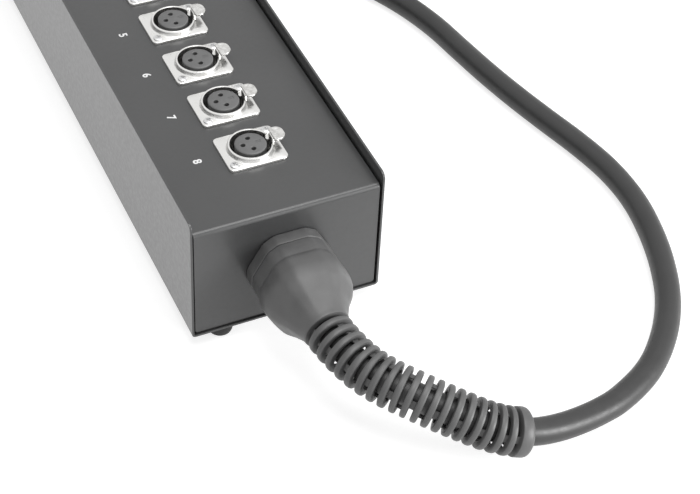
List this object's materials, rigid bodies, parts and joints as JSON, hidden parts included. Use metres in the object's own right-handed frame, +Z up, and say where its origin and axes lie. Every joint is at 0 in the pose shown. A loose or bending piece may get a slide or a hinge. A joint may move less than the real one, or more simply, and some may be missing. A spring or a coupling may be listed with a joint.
{
  "type": "stage box snake",
  "caption": "Long folded-metal stage box with a row of round microphone sockets on top, a ribbed cable boot on its end and a thick multicore cable ending in a fan of plugs.",
  "frame": {"origin": "on the floor under the middle of the box, which stands on its four rubber feet", "axes": "+Y along the box away from the end that the cable leaves, +Z up out of the sockets, +X towards the sockets' push tabs"},
  "size_m": [0.3424, 0.6137, 0.083],
  "materials": {
    "powder_coat": "fine satin powder coat",
    "nickel": "bright satin nickel plate",
    "socket_plastic": "matt moulded",
    "zinc_steel": "zinc plated",
    "foot_rubber": "matt black rubber",
    "boot_rubber": "satin grey-black moulding",
    "gland_plastic": "matt moulded",
    "cable_jacket": "smooth satin jacket",
    "tail_jacket": "smooth satin jacket",
    "strap_fabric": "woven hook-and-loop tape",
    "wire_jacket": "coloured wire insulation"
  },
  "bodies": {
    "box_and_cable": {"base_chassis": "powder_coat", "top_cover": "powder_coat", "foot_1": "foot_rubber", "foot_2": "foot_rubber", "foot_3": "foot_rubber", "foot_4": "foot_rubber", "cover_screw_1": "zinc_steel", "cover_screw_2": "zinc_steel", "cover_screw_3": "zinc_steel", "cover_screw_4": "zinc_steel", "socket_shell_1": "nickel", "socket_insert_1": "socket_plastic", "socket_shell_2": "nickel", "socket_insert_2": "socket_plastic", "socket_shell_3": "nickel", "socket_insert_3": "socket_plastic", "socket_shell_4": "nickel", "socket_insert_4": "socket_plastic", "socket_shell_5": "nickel", "socket_insert_5": "socket_plastic", "socket_shell_6": "nickel", "socket_insert_6": "socket_plastic", "socket_shell_7": "nickel", "socket_insert_7": "socket_plastic", "socket_shell_8": "nickel", "socket_insert_8": "socket_plastic", "gland_body": "gland_plastic", "gland_seal": "foot_rubber", "gland_locknut": "gland_plastic", "cable_boot": "boot_rubber", "cable_run": "cable_jacket", "cable_coil": "cable_jacket", "coil_strap_1": "strap_fabric", "coil_strap_2": "strap_fabric", "fan_boot": "boot_rubber", "fan_tail_1": "tail_jacket", "fan_tail_2": "tail_jacket", "fan_tail_3": "tail_jacket", "fan_tail_4": "tail_jacket", "fan_tail_5": "tail_jacket", "fan_tail_6": "tail_jacket", "fan_tail_7": "tail_jacket", "fan_tail_8": "tail_jacket", "fan_plug_1": "nickel", "fan_plug_2": "nickel", "fan_plug_3": "nickel", "fan_plug_4": "nickel", "fan_plug_5": "nickel", "fan_plug_6": "nickel", "fan_plug_7": "nickel", "fan_plug_8": "nickel", "wiring_loom": "wire_jacket"},
    "latch_1": {"push_tab_1": "nickel"},
    "latch_2": {"push_tab_2": "nickel"},
    "latch_3": {"push_tab_3": "nickel"},
    "latch_4": {"push_tab_4": "nickel"},
    "latch_5": {"push_tab_5": "nickel"},
    "latch_6": {"push_tab_6": "nickel"},
    "latch_7": {"push_tab_7": "nickel"},
    "latch_8": {"push_tab_8": "nickel"}
  },
  "joints": [
    {"name": "latch_1_press", "type": "slide", "parent": "box_and_cable", "child": "latch_1", "axis": [0, 0, -1], "range_m": [0, 0.0012], "stiffness_N_per_m": 400},
    {"name": "latch_2_press", "type": "slide", "parent": "box_and_cable", "child": "latch_2", "axis": [0, 0, -1], "range_m": [0, 0.0012], "stiffness_N_per_m": 400},
    {"name": "latch_3_press", "type": "slide", "parent": "box_and_cable", "child": "latch_3", "axis": [0, 0, -1], "range_m": [0, 0.0012], "stiffness_N_per_m": 400},
    {"name": "latch_4_press", "type": "slide", "parent": "box_and_cable", "child": "latch_4", "axis": [0, 0, -1], "range_m": [0, 0.0012], "stiffness_N_per_m": 400},
    {"name": "latch_5_press", "type": "slide", "parent": "box_and_cable", "child": "latch_5", "axis": [0, 0, -1], "range_m": [0, 0.0012], "stiffness_N_per_m": 400},
    {"name": "latch_6_press", "type": "slide", "parent": "box_and_cable", "child": "latch_6", "axis": [0, 0, -1], "range_m": [0, 0.0012], "stiffness_N_per_m": 400},
    {"name": "latch_7_press", "type": "slide", "parent": "box_and_cable", "child": "latch_7", "axis": [0, 0, -1], "range_m": [0, 0.0012], "stiffness_N_per_m": 400},
    {"name": "latch_8_press", "type": "slide", "parent": "box_and_cable", "child": "latch_8", "axis": [0, 0, -1], "range_m": [0, 0.0012], "stiffness_N_per_m": 400}
  ]
}
